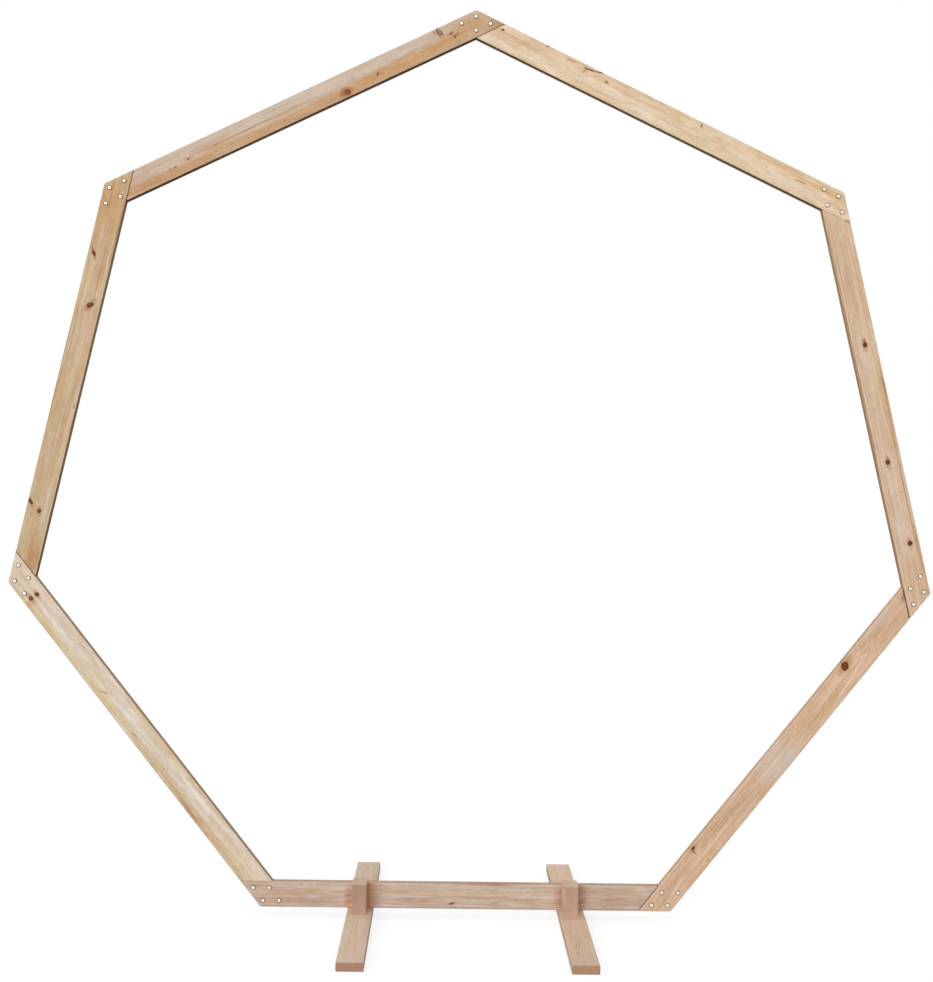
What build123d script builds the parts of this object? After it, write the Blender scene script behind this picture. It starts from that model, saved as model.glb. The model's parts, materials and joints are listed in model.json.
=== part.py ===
from build123d import *
import os
from math import atan2, cos, degrees, radians, sin

# A free-standing seven-sided wooden arch for a wedding, in millimetres.
# Seven boards make the ring. Each is halved at both ends: at its first corner it laps over the front of
# the board before it, and at its second corner it passes behind the board after it.
# X runs across the arch, the front faces -Y, and Z is up. The origin is on the floor, under the middle of
# the ring and half way through its boards.

# The ring of boards
arch_width = 2200.0
board_width = 60.0
board_thickness = 20.0
front_lap_thickness = 10.0
edge_round = 2.0
corner_round = 8.0

# The boards, counter-clockwise from the apex as seen from the front
board_names = [
    "left_roof_beam",
    "upper_left_beam",
    "lower_left_beam",
    "bottom_beam",
    "lower_right_beam",
    "upper_right_beam",
    "right_roof_beam",
]

# The corner where each board starts, with the gap left open at the lap's front shoulder. The shoulders behind
# all fit as closely as each other.
shoulder_gaps = {
    "apex": 1.1,
    "upper_left": 1.6,
    "left": 1.7,
    "bottom_left": 1.0,
    "bottom_right": 2.6,
    "right": 3.2,
    "upper_right": 0.4,
}
back_shoulder_gap = 0.5

# The corner screws, one this far in from each edge of both boards, with their points kept inside the wood
corner_screw_inset = 15.0
point_cover = 3.0

# The feet, and the blocks on them that hold the ring upright. Each block stands this far to the right of its
# foot's middle line.
foot_length = 700.0
foot_width = 60.0
foot_thickness = 20.0
foot_spacing = 502.0
block_width = 34.0
block_depth = 50.0
block_height = 72.0
block_shifts = {"left": 0.0, "right": -4.0}
end_chamfer = 1.0

# The screws into each block: two from behind the ring's bottom board, and two up through the foot
block_screw_inset = 15.0
foot_screw_spacing = 18.0
screw_bite = 30.0
countersink_depth = 0.4

# Screw stock. The heads under the feet are 90 degree cones, so each is as high as it widens. The screws and
# their holes are drawn with a few flat sides, because there are so many of them.
shank_diameter = 4.5
head_diameter = 9.5
head_height = 3.0
head_chamfer = 1.2
point_length = 5.0
tip_diameter = 0.8
hole_clearance = 0.2
shank_sides = 8
head_sides = 16

# Worked out from the sizes above
side_count = len(board_names)
turn = 360.0 / side_count
half_turn = radians(turn / 2)
bottom_index = board_names.index("bottom_beam")
widest_corner = round(side_count / 4)
corner_radius = arch_width / 2 / sin(radians(widest_corner * turn))
apothem = corner_radius * cos(half_turn)
side_length = 2 * corner_radius * sin(half_turn)
ring_centre = Pos(0, 0, foot_thickness + apothem)
front_face = -board_thickness / 2
back_face = board_thickness / 2
lap_face = front_face + front_lap_thickness
cutter_margin = 2 * board_width
corner_screw_length = board_thickness - point_cover
block_screw_length = board_thickness + screw_bite
foot_screw_length = foot_thickness + screw_bite
shank_radius = shank_diameter / 2
head_radius = head_diameter / 2
tip_radius = tip_diameter / 2
hole_radius = shank_radius + hole_clearance

# Turns that point a screw, made driving upwards, towards the back or towards the front
to_back = Rot(-90, 0, 0)
to_front = Rot(90, 0, 0)


def board_place(index):
    """The place of a board that is made lying at the bottom of a ring centred on the origin."""
    return ring_centre * Rot(0, (bottom_index - index) * turn, 0)


def corner_place(index):
    """The place of a corner that is made at the top of a ring centred on the origin."""
    return ring_centre * Rot(0, -index * turn, 0)


def board_strip(outer, inner, near, far):
    """A long bar in the lowest board's place, between two distances from the centre and two depths."""
    bar = Box(side_length + 2 * cutter_margin, far - near, outer - inner)
    return Pos(0, (near + far) / 2, -(outer + inner) / 2) * bar


def ring_outline():
    """The ring's outline as one thick disc, with its corners rounded and both of its rims eased."""
    outline = RegularPolygon(corner_radius, side_count, rotation=90)
    outline = fillet(outline.vertices(), corner_round)
    disc = extrude(Plane.XZ * outline, amount=board_thickness / 2, both=True)
    rims = disc.faces().filter_by(Axis.Y).edges()
    return ring_centre * fillet(rims, edge_round)


def board_stock():
    """A board with its two inner edges eased, and wider outwards than the ring's outline, which trims it."""
    bar = board_strip(apothem + cutter_margin, apothem - board_width, front_face, back_face)
    inner_edges = bar.faces().sort_by(Axis.Z)[-1].edges().filter_by(Axis.X)
    return fillet(inner_edges, edge_round)


def shoulder_cut(gap, near, far):
    """What a lap takes out of a board: the place of the neighbour that fills it, and the gap beside it."""
    return board_strip(apothem + cutter_margin, apothem - board_width - gap, near, far)


def tapered_rod(radius, end_radius, length, sides):
    """A many-sided rod standing on the ground plane, narrowing upwards. Its radii go to its flats."""
    section = RegularPolygon(radius, sides, major_radius=False)
    return extrude(section, amount=length, taper=degrees(atan2(radius - end_radius, length)))


def drilled(length):
    """The hole for a screw that is driven straight up from the ground plane."""
    return tapered_rod(hole_radius, hole_radius, length + hole_clearance, shank_sides)


def countersunk(length):
    """The hole for a screw whose cone head is let in from the ground plane."""
    mouth = head_radius + hole_clearance + countersink_depth
    cone = tapered_rod(mouth, hole_radius, mouth - hole_radius, shank_sides)
    return cone + drilled(countersink_depth + length)


def screw_shank(length):
    """A screw's shank and point, driven straight up from the ground plane."""
    shank_length = length - point_length
    shank = tapered_rod(shank_radius, shank_radius, shank_length, shank_sides)
    return shank + Pos(0, 0, shank_length) * tapered_rod(shank_radius, tip_radius, point_length, shank_sides)


def pan_screw(length):
    """A screw whose head stands on the wood, below the ground plane, with its crown eased."""
    head = Pos(0, 0, -head_height) * tapered_rod(head_radius, head_radius, head_height, head_sides)
    crown = head.faces().sort_by(Axis.Z)[0].edges()
    return chamfer(crown, head_chamfer) + screw_shank(length)


def flush_screw(length):
    """A screw whose cone head is let in just past the wood's face at the ground plane."""
    head = tapered_rod(head_radius, shank_radius, head_radius - shank_radius, shank_sides)
    return Pos(0, 0, countersink_depth) * (head + screw_shank(length))


def corner_screw_places(index):
    """The four screws' places at one corner, each the same inset from an edge of both boards."""
    insets = [corner_screw_inset, board_width - corner_screw_inset]
    places = []
    for before in insets:
        for after in insets:
            across = (after - before) / (2 * sin(half_turn))
            up = (2 * apothem - before - after) / (2 * cos(half_turn))
            places.append(corner_place(index) * Pos(across, front_face, up) * to_back)
    return places


def block_screw_places(block_middle):
    """The places of the two screws behind the bottom board."""
    heights = [block_screw_inset, board_width - block_screw_inset]
    return [Pos(block_middle, back_face, foot_thickness + height) * to_front for height in heights]


def foot_screw_places(block_middle):
    """The places of the two screws under the foot."""
    depth = front_face - block_depth / 2
    sides = [-foot_screw_spacing / 2, foot_screw_spacing / 2]
    return [Pos(block_middle + side, depth, 0) for side in sides]


def cut_holes(wood, places, hole):
    """The wood with the same hole at each place."""
    for place in places:
        wood = wood - place * hole
    return wood


def ring_board(index, outline):
    """One board of the ring, halved over its neighbours and drilled at both of its corners."""
    gaps = list(shoulder_gaps.values())
    next_index = (index + 1) % side_count
    wood = outline & board_place(index) * board_stock()
    behind_start = shoulder_cut(back_shoulder_gap, lap_face, back_face + cutter_margin)
    before_end = shoulder_cut(gaps[next_index], front_face - cutter_margin, lap_face)
    wood = wood - board_place(index - 1) * behind_start
    wood = wood - board_place(index + 1) * before_end
    screws = corner_screw_places(index) + corner_screw_places(next_index)
    return cut_holes(wood, screws, drilled(corner_screw_length))


def foot(foot_middle, block_middle):
    """One foot board, running front to back, drilled under its block."""
    section = Plane.XZ * RectangleRounded(foot_width, foot_thickness, edge_round)
    wood = extrude(section, amount=foot_length / 2, both=True)
    wood = chamfer(wood.faces().filter_by(Axis.Y).edges(), end_chamfer)
    wood = Pos(foot_middle, 0, foot_thickness / 2) * wood
    return cut_holes(wood, foot_screw_places(block_middle), countersunk(foot_screw_length))


def block(block_middle):
    """One block, standing on the foot against the front of the bottom board."""
    wood = extrude(RectangleRounded(block_width, block_depth, edge_round), amount=block_height)
    wood = chamfer(wood.faces().sort_by(Axis.Z)[-1].edges(), end_chamfer)
    wood = Pos(block_middle, front_face - block_depth / 2, foot_thickness) * wood
    wood = cut_holes(wood, block_screw_places(block_middle), drilled(block_screw_length))
    return cut_holes(wood, foot_screw_places(block_middle), countersunk(foot_screw_length))


def screw_set(places, screw):
    """The screws of one joint, which don't touch each other."""
    return Compound([place * screw for place in places])


nodes = {}
foot_middles = {"left": -foot_spacing / 2, "right": foot_spacing / 2}

outline = ring_outline()
for index, name in enumerate(board_names):
    nodes[name] = ring_board(index, outline)
for index, corner in enumerate(shoulder_gaps):
    nodes[corner + "_screws"] = screw_set(corner_screw_places(index), pan_screw(corner_screw_length))

for side, foot_middle in foot_middles.items():
    block_middle = foot_middle + block_shifts[side]
    behind_block = block_screw_places(block_middle)
    under_foot = foot_screw_places(block_middle)
    nodes["bottom_beam"] = cut_holes(nodes["bottom_beam"], behind_block, drilled(block_screw_length))
    nodes[side + "_foot"] = foot(foot_middle, block_middle)
    nodes[side + "_block"] = block(block_middle)
    nodes[side + "_block_screws"] = screw_set(behind_block, pan_screw(block_screw_length))
    nodes[side + "_foot_screws"] = screw_set(under_foot, flush_screw(foot_screw_length))

os.makedirs("parts", exist_ok=True)
for name, shape in nodes.items():
    export_step(shape, f"parts/{name}.step")
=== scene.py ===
import json
from math import cos, pi, radians, sin

import bpy
from mathutils import Matrix, Vector

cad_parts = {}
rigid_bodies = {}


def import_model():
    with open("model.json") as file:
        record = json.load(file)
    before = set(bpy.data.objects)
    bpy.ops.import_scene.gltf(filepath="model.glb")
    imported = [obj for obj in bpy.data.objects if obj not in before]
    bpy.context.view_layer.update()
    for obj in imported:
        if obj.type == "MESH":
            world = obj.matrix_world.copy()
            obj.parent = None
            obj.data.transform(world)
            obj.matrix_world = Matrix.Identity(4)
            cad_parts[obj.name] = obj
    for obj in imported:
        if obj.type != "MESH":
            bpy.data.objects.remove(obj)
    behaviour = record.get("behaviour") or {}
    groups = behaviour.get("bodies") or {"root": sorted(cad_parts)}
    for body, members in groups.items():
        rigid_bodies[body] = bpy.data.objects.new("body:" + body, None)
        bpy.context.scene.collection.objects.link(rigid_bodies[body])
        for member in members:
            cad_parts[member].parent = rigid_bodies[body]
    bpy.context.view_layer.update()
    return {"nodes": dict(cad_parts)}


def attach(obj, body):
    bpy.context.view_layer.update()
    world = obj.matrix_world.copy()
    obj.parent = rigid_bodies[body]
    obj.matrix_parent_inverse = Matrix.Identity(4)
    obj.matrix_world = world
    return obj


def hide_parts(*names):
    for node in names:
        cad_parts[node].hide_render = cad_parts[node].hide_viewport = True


# A free-standing seven-sided pine arch for a wedding, in metres.
# X runs across the arch, the front faces -Y, and Z is up. The boards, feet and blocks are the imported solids
# and get their wood here. The screws are modelled here in full and stand for the plain ones.
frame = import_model()

millimetre = 0.001

# The ring of boards
arch_width = 2.2
board_width = 0.06
board_thickness = 0.02
corner_screw_inset = 0.015
board_names = [
    "left_roof_beam",
    "upper_left_beam",
    "lower_left_beam",
    "bottom_beam",
    "lower_right_beam",
    "upper_right_beam",
    "right_roof_beam",
]
corner_names = ["apex", "upper_left", "left", "bottom_left", "bottom_right", "right", "upper_right"]

# The feet, and the blocks that stand on them
foot_length = 0.7
foot_thickness = 0.02
foot_middles = {"left": -0.251, "right": 0.251}
block_middles = {"left": -0.251, "right": 0.247}
block_width = 0.034
block_depth = 0.05
block_height = 0.072
foot_screw_spacing = 0.018

# The screws
head_radius = 0.00475
head_height = 0.003
head_wall = 0.0005
flat_head_wall = 0.0003
shank_radius = 0.00225
tip_radius = 0.0004
point_length = 0.005
corner_screw_length = 0.017
block_screw_length = 0.05
foot_screw_length = 0.05
countersink_depth = 0.0004
thread_pitch = 0.0018
thread_height = 0.0006
smooth_shank = 0.003
recess_span = 0.0044
recess_floor_span = 0.0022
recess_width = 0.0008
recess_depth = 0.0014
cutter_overhang = 0.001
crown_share = 0.7
head_sides = 32
dome_steps = 7
dome_end = radians(66)
thread_steps = 12
thread_sides = 3
smooth_angle = radians(32)
straight_up = 0.9
last_turn = 2.4

# Worked out from the sizes above
side_count = len(board_names)
turn = 2 * pi / side_count
bottom_index = board_names.index("bottom_beam")
corner_radius = arch_width / 2 / sin(2 * turn)
apothem = corner_radius * cos(turn / 2)
side_length = 2 * corner_radius * sin(turn / 2)
screw_insets = [corner_screw_inset, board_width - corner_screw_inset]
ring_middle = Vector((0, 0, foot_thickness + apothem))
front_face = -board_thickness / 2
back_face = board_thickness / 2
front_to_back = (-pi / 2, 0, pi / 2)

# Noise in the wood, in swells a metre along the board, through it and across it, and how fine it goes
drift_swells = (6.0, 34.0, 34.0)
warp_swells = (2.2, 16.0, 16.0)
warm_swells = (6.0, 60.0, 60.0)
pale_swells = (8.0, 80.0, 80.0)
pale_offset = (5.0, 5.0, 5.0)
streak_swells = (7.0, 150.0, 150.0)
mottle_swells = (28.0, 75.0, 75.0)
fleck_swells = (60.0, 330.0, 330.0)
fibre_swells = (16.0, 950.0, 950.0)
pore_swells = (1200.0, 1200.0, 1200.0)
knot_swells = (260.0, 60.0, 260.0)
overlay_swells = (40.0, 150.0, 260.0)
overlay_streak_swells = (14.0, 300.0, 300.0)
soft_detail = 2.0
plain_detail = 3.0
fine_detail = 4.0

# Year rings: how far they wander, how latewood builds up and stops, and how weak and strong the years are
ring_wander = 0.01
late_rise = 2.2
late_stop = 0.86
year_strength = (0.3, 1.15)

# How much of each tone is laid over the ground, and from which noise to which
warm_share = 0.42
pale_share = 0.4
late_share = 0.5
fleck_share = 0.45
tone_edge = (0.44, 0.68)
fleck_edge = (0.52, 0.72)
ground_edge = (0.25, 0.75)
ground_uneven = 0.5

# How far each kind of noise darkens and lightens the wood, and the powers that keep its shade warm
streak_light = (0.8, 1.2)
mottle_light = (0.83, 1.17)
fleck_light = (0.7, 1.3)
fibre_light = (0.88, 1.12)
pore_light = (0.85, 1.15)
red_power = 0.7
blue_power = 1.6

# Knots. Their edges are in shares of the knot's radius.
branch_lean = 0.25
knot_uneven = 0.3
core_edge = (1.0, 0.82)
rim_middle = 0.88
rim_edge = (0.42, 0.1)
heart_edge = (0.36, 0.08)
branch_rings = 11.0
branch_ring_share = 0.6
halo_edge = (1.9, 0.8)
halo_narrowing = 0.2
bend_along = -0.09
bend_across = -0.25
bend_share = -0.78
core_light = (0.75, 1.45)
rim_light = (0.4, 1.3)
halo_light = (0.1, 0.8)
heart_share = 0.5
halo_brown = (172, 112, 62)
rim_brown = (84, 44, 25)
heart_brown = (84, 40, 20)

# Patches and marks. They lay both real stains and painted shade, painted bounce light and painted highlights.
overlay_depth = 0.025
overlay_uneven = 0.4
overlay_reach = 1.3
overlay_streak_edge = (0.25, 0.6)
overlay_streak_light = (0.5, 1.15)
patch_solid = 0.1
mark_solid = 0.55

# End grain, painted light and shade on the boards' narrow edges and in the laps, dents with painted shade
# round the screws' heads, and painted highlights on the arrises
end_edge = (0.35, 0.9)
# Painted light and shade on the boards' narrow edges
narrow_face_edge = (0.6, 0.95)
# Painted shade on the floors of the laps, which shows in the seams between the boards
flat_edge = (0.6, 0.9)
lap_edge = (0.0012, 0.0004)
lap_floor_shade_brown = (66, 38, 24)
# The dent round each screw's head, and the ring of painted shade laid on it
dent_and_shade_reach = 0.0022
face_only = (1.0, 0.0, 1.0)
dent_shade_share = 0.6
dent_painted_shade_brown = (70, 46, 30)
# Painted highlights along the arrises
arris_highlight_edge = (0.0034, 0.0012)
arris_highlight_uneven = 0.001
arris_highlight_share = 0.3
arris_highlight_cream = (232, 214, 188)

# How rough and how proud the wood's parts are
wood_gloss = 0.03
plain_roughness = 0.64
late_roughness = -0.12
core_roughness = -0.15
fibre_roughness = 0.1
late_height = 0.35
fibre_height = 0.5
rim_height = -0.8
dent_height = -1.5
core_height = 0.5
wood_bump = 0.5
wood_bump_depth = 0.0003

# Zinc plate
bloom_swells = (900.0, 900.0, 900.0)
bloom_edge = (0.4, 0.75)
bloom_tint = (0.82, 0.80, 0.76, 1.0)
bloom_share = 0.6
scratch_swells = (6000.0, 1500.0, 700.0)
scratch_share = 0.4
scratch_edge = (0.25, 0.75)
zinc_bump = 0.3
zinc_bump_depth = 0.00005

# The finishes of a head's crown, its recess and its rim. The recess is darker with painted shade and some
# dirt, and the rim with painted shade and a painted dark reflection of the wood, with some dirt. Each has its
# tone, and how smooth and how rough it is.
zinc_finishes = {
    "zinc_plate": ((252, 244, 234), (0.22, 0.4)),
    "zinc_with_painted_recess_shade": ((206, 198, 188), (0.3, 0.5)),
    "zinc_with_painted_rim_shade": ((170, 154, 138), (0.4, 0.6)),
}
recess_slot = 1
rim_slot = 2

# The camera, at the photograph's standpoint
camera_place = (-0.0598, -3.0693, 1.0643)
camera_roll = radians(-0.7)
camera_lens = 47.04
camera_sensor = 36.0
camera_shift = (0.0212, -0.0205)

# The light: a wide soft lamp in front on the left, a weaker one straight behind, and a plain pale room
lamp_from = Vector((-0.28, -0.7, 0.12))
lamp_strength = 2.4
lamp_spread = radians(44)
back_lamp_from = Vector((0.02, 1.0, 0.03))
back_lamp_strength = 1.15
back_lamp_spread = radians(12)
room_light = 0.6
room_shown = 1.0
floor_size = 60.0
floor_drop = 0.0002
floor_shown = 0.42
floor_lift = 0.72
floor_unseen = (0.045, 0.028, 0.022, 1.0)
white = (1.0, 1.0, 1.0, 1.0)

# A Mix node takes its share and its two colours, and gives the mixed one, at these sockets
mix_inputs = (0, 6, 7)
mix_output = 2


# Small helpers for objects

def clear_selection():
    """Nothing stays selected, so that an operator acts only on what is made next."""
    for thing in bpy.context.scene.objects:
        thing.select_set(False)


def select_only(*things):
    """Selects these objects, the first one active."""
    clear_selection()
    for thing in things:
        thing.select_set(True)
    bpy.context.view_layer.objects.active = things[0]


def join_all(*things):
    """Joins these objects into the first one."""
    select_only(*things)
    bpy.ops.object.join()


def settle(thing):
    """Puts an object's place, turn and size into its mesh."""
    select_only(thing)
    bpy.ops.object.transform_apply(location=True, rotation=True, scale=True)


def select_faces(thing, wanted):
    """In edit mode, selects the faces that the test wants, and nothing else."""
    bpy.ops.object.mode_set(mode="EDIT")
    bpy.ops.mesh.select_mode(type="FACE")
    bpy.ops.mesh.select_all(action="DESELECT")
    bpy.ops.object.mode_set(mode="OBJECT")
    for face in thing.data.polygons:
        face.select = wanted(face)
    bpy.ops.object.mode_set(mode="EDIT")


def faces_up(face):
    """Whether a face looks straight up."""
    return face.normal.z > straight_up


def faces_down(face):
    """Whether a face looks straight down."""
    return face.normal.z < -straight_up


def apply_modifier(thing, modifier):
    """Makes a modifier's result the object's own mesh."""
    select_only(thing)
    bpy.ops.object.modifier_apply(modifier=modifier.name)


# Small helpers for shader nodes

def tone(red, green, blue):
    """A colour as it shows, from 0 to 255 a channel, as the linear values that a shader takes."""
    linear = []
    for shown in (red, green, blue):
        value = shown / 255
        if value <= 0.04045:
            linear.append(value / 12.92)
        else:
            linear.append(((value + 0.055) / 1.055) ** 2.4)
    return (*linear, 1.0)


def put(socket, value):
    """Fills a socket with a value, or with a link where the value is another node's output."""
    if isinstance(value, bpy.types.NodeSocket):
        socket.id_data.links.new(value, socket)
    else:
        socket.default_value = value


def node_beside(kind, *values):
    """Adds a node to the tree that one of these values comes from."""
    outputs = [value for value in values if isinstance(value, bpy.types.NodeSocket)]
    return outputs[0].id_data.nodes.new("ShaderNode" + kind)


def add_node(kind, *values, **settings):
    """Adds a node, sets it up, and fills its inputs in their order."""
    made = node_beside(kind, *values)
    for setting, value in settings.items():
        setattr(made, setting, value)
    for socket, value in zip(made.inputs, values):
        put(socket, value)
    return made


def maths(operation, *values):
    """A sum on numbers."""
    return add_node("Math", *values, operation=operation).outputs[0]


def product(value, *others):
    """These numbers multiplied together."""
    for other in others:
        value = maths("MULTIPLY", value, other)
    return value


def total(first, second):
    """Two numbers added up."""
    return maths("ADD", first, second)


def swing(value, low, high):
    """Goes straight from the low number to the high one, as the value goes from 0 to 1."""
    return maths("MULTIPLY_ADD", value, high - low, low)


def fade(value, start, end, first=0.0, last=1.0):
    """Goes softly from the first number to the last one, as the value goes from start to end."""
    made = add_node("MapRange", value, start, end, first, last, interpolation_type="SMOOTHSTEP")
    return made.outputs[0]


def unsigned(value):
    """A number without its sign."""
    return maths("ABSOLUTE", value)


def vectors(operation, *values):
    """A sum on vectors."""
    return add_node("VectorMath", *values, operation=operation).outputs[0]


def split(vector):
    """A vector's three numbers, along, through and across the board."""
    return add_node("SeparateXYZ", vector).outputs


def combined(along, through, across):
    """A vector from its three numbers."""
    return add_node("CombineXYZ", along, through, across).outputs[0]


def vector_length(vector):
    """How long a vector is."""
    return add_node("VectorMath", vector, operation="LENGTH").outputs["Value"]


def mix_tones(share, first, second, how="MIX"):
    """One colour laid over another, as much as the share says."""
    made = node_beside("Mix", share, first, second)
    made.data_type = "RGBA"
    made.blend_type = how
    for index, value in zip(mix_inputs, (share, first, second)):
        put(made.inputs[index], value)
    return made.outputs[mix_output]


def tint(color, by, share=1.0):
    """A colour multiplied by another, as much as the share says."""
    return mix_tones(share, color, by, "MULTIPLY")


def clouds(place, swells, detail=plain_detail):
    """Noise from 0 to 1, with this many swells a metre along each axis."""
    made = node_beside("TexNoise", place)
    put(made.inputs["Vector"], vectors("MULTIPLY", place, swells))
    made.inputs["Scale"].default_value = 1.0
    made.inputs["Detail"].default_value = detail
    return made.outputs[0]


def new_material(name):
    """An empty material, its nodes and its shader."""
    material = bpy.data.materials.new(name)
    material.use_nodes = True
    return material, material.node_tree, material.node_tree.nodes["Principled BSDF"]


def add_bump(shader, height, strength, depth):
    """Turns a height into the shader's bumps."""
    bump = node_beside("Bump", height)
    bump.inputs["Strength"].default_value = strength
    bump.inputs["Distance"].default_value = depth
    put(bump.inputs["Height"], height)
    put(shader.inputs["Normal"], bump.outputs[0])


def shader_group(name, inputs, outputs):
    """An empty node group, its inputs and its outputs, whose sockets are named under their kinds."""
    group = bpy.data.node_groups.new(name, "ShaderNodeTree")
    for direction, sockets in (("INPUT", inputs), ("OUTPUT", outputs)):
        for kind, titles in sockets.items():
            for title in titles:
                group.interface.new_socket(title, in_out=direction, socket_type="NodeSocket" + kind)
    given = group.nodes.new("NodeGroupInput").outputs
    wanted = group.nodes.new("NodeGroupOutput").inputs
    return group, given, wanted


def use_group(group, values):
    """Places a node group with its own values, and gives its outputs."""
    made = node_beside("Group", *values.values())
    made.node_tree = group
    for title, value in values.items():
        put(made.inputs[title], value)
    return made.outputs


# What grows in pine and what happens to it. A place is measured along the board, through it, and across it.

def knot_squares(given, off_middle):
    """How far off a knot's middle a place is, along and across, squared, in shares of the knot's size."""
    along, through, across = split(off_middle)
    along = maths("SUBTRACT", along, product(through, branch_lean))
    across = maths("SUBTRACT", across, product(along, given["Slant"]))
    along_share = maths("DIVIDE", along, product(given["Radius"], given["Stretch"]))
    across_share = maths("DIVIDE", across, given["Radius"])
    return product(along_share, along_share), product(across_share, across_share)


def bend_grain(grain, off_middle, along_square, across_square):
    """The grain pushed aside by a knot."""
    spread = total(product(along_square, bend_along), product(across_square, bend_across))
    near = maths("EXPONENT", spread)
    aside = product(split(off_middle)[2], near, bend_share)
    return vectors("ADD", grain, combined(0.0, 0.0, aside))


def knot_group():
    """A knot: grain that bends aside round a brown core with a dark rim, a dark heart and a warm halo."""
    inputs = {
        "Vector": ["Place", "Grain", "Middle"],
        "Float": ["Radius", "Stretch", "Slant", "Core", "Rim", "Heart", "Halo"],
    }
    outputs = {"Vector": ["Grain"], "Float": ["Core", "Rim", "Heart", "Halo"]}
    group, given, wanted = shader_group("pine_knot", inputs, outputs)
    off_middle = vectors("SUBTRACT", given["Place"], given["Middle"])
    along_square, across_square = knot_squares(given, off_middle)
    uneven = swing(clouds(given["Place"], knot_swells, soft_detail), -knot_uneven, knot_uneven)
    distance = total(maths("SQRT", total(along_square, across_square)), uneven)
    long_square = maths("MULTIPLY_ADD", along_square, halo_narrowing, across_square)
    long_distance = total(maths("SQRT", long_square), uneven)
    core = fade(distance, *core_edge)
    off_rim = unsigned(maths("SUBTRACT", distance, rim_middle))
    ring = unsigned(maths("SINE", product(distance, branch_rings)))
    heart = maths("MAXIMUM", fade(distance, *heart_edge), product(ring, branch_ring_share))
    grown = {
        "Core": core,
        "Rim": fade(off_rim, *rim_edge),
        "Heart": product(heart, core),
        "Halo": fade(long_distance, *halo_edge),
    }
    for title, mask in grown.items():
        put(wanted[title], maths("MAXIMUM", given[title], mask))
    put(wanted["Grain"], bend_grain(given["Grain"], off_middle, along_square, across_square))
    return group


def dent_and_shade_group():
    """The wood pressed in round a screw's head, with a ring of painted shade round the head."""
    inputs = {"Vector": ["Place", "Middle"], "Float": ["Dent And Shade"]}
    group, given, wanted = shader_group("screw_dent_and_shade", inputs, {"Float": ["Dent And Shade"]})
    off_middle = vectors("SUBTRACT", given["Place"], given["Middle"])
    distance = vector_length(vectors("MULTIPLY", off_middle, face_only))
    dent_and_shade = fade(distance, head_radius + dent_and_shade_reach, head_radius)
    put(wanted["Dent And Shade"], maths("MAXIMUM", given["Dent And Shade"], dent_and_shade))
    return group


def stain_and_painted_light_group():
    """A soft-edged patch, streak or speck of another tone, laid over the wood. It lays real stains, and also
    painted shade, painted bounce light and painted highlights.
    """
    inputs = {
        "Color": ["Color", "Tone"],
        "Vector": ["Place", "Middle", "Reach"],
        "Float": ["Slant", "Solid", "Strength"],
    }
    group, given, wanted = shader_group("wood_stain_and_painted_light", inputs, {"Color": ["Color"]})
    along, through, across = split(vectors("SUBTRACT", given["Place"], given["Middle"]))
    across = maths("SUBTRACT", across, product(along, given["Slant"]))
    share = vectors("DIVIDE", combined(along, through, across), given["Reach"])
    uneven = swing(clouds(given["Place"], overlay_swells, soft_detail), -overlay_uneven, overlay_uneven)
    mask = fade(total(vector_length(share), uneven), overlay_reach, given["Solid"])
    streaks = clouds(given["Place"], overlay_streak_swells)
    streaked = fade(streaks, *overlay_streak_edge, *overlay_streak_light)
    amount = product(mask, streaked, given["Strength"])
    put(wanted["Color"], mix_tones(amount, given["Color"], given["Tone"]))
    return group


def pine_ground_group():
    """The wood's own ground tone, which drifts from the board's outer edge to its inner one."""
    inputs = {"Vector": ["Place", "Size"], "Float": ["Seed"], "Color": ["Outer Tone", "Inner Tone"]}
    group, given, wanted = shader_group("pine_ground", inputs, {"Color": ["Color"]})
    grown = vectors("ADD", given["Place"], given["Seed"])
    uneven = swing(clouds(grown, drift_swells, fine_detail), -ground_uneven, ground_uneven)
    across = maths("DIVIDE", split(given["Place"])[2], split(given["Size"])[2])
    inner = fade(total(across, uneven), *ground_edge)
    put(wanted["Color"], mix_tones(inner, given["Outer Tone"], given["Inner Tone"]))
    return group


def latewood(given, grown):
    """The dark part of each year ring round the pith, each ring with its own strength."""
    along, through, across = split(vectors("SUBTRACT", given["Grain"], given["Pith"]))
    across = maths("SUBTRACT", across, product(along, given["Lean"]))
    square = total(product(through, through), product(across, across))
    wander = swing(clouds(grown, warp_swells), -ring_wander, ring_wander)
    rings = maths("DIVIDE", total(maths("SQRT", square), wander), given["Ring Width"])
    share = maths("FRACT", rings)
    year = node_beside("TexWhiteNoise", rings)
    year.noise_dimensions = "1D"
    put(year.inputs["W"], total(maths("FLOOR", rings), given["Seed"]))
    strength = swing(year.outputs["Value"], *year_strength)
    return product(maths("POWER", share, late_rise), fade(share, 1.0, late_stop), strength)


def figured(given, grown, late, flecks):
    """The ground tone under warm and pale streaks, latewood and dark flecks."""
    paler = vectors("ADD", grown, pale_offset)
    layers = [
        (fade(clouds(grown, warm_swells, fine_detail), *tone_edge), warm_share, "Warm Tone"),
        (fade(clouds(paler, pale_swells, fine_detail), *tone_edge), pale_share, "Pale Tone"),
        (late, late_share, "Late Tone"),
        (fade(flecks, *fleck_edge), fleck_share, "Late Tone"),
    ]
    color = given["Ground"]
    for mask, share, title in layers:
        color = mix_tones(product(mask, share, given["Figure"]), color, given[title])
    return color


def figure_light(given, noises):
    """How the noises darken and lighten the wood, its blue more than its red."""
    light = product(*[swing(noise, *reach) for noise, reach in noises])
    light = maths("MULTIPLY_ADD", maths("SUBTRACT", light, 1.0), given["Figure"], 1.0)
    red = maths("POWER", light, red_power)
    blue = maths("POWER", light, blue_power)
    return combined(red, light, blue)


def end_grain(given, grown, color):
    """The wood's tone on the board's ends, darker and redder, with pores."""
    pores = swing(clouds(grown, pore_swells), *pore_light)
    return tint(tint(color, given["End Tint"]), pores)


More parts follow.
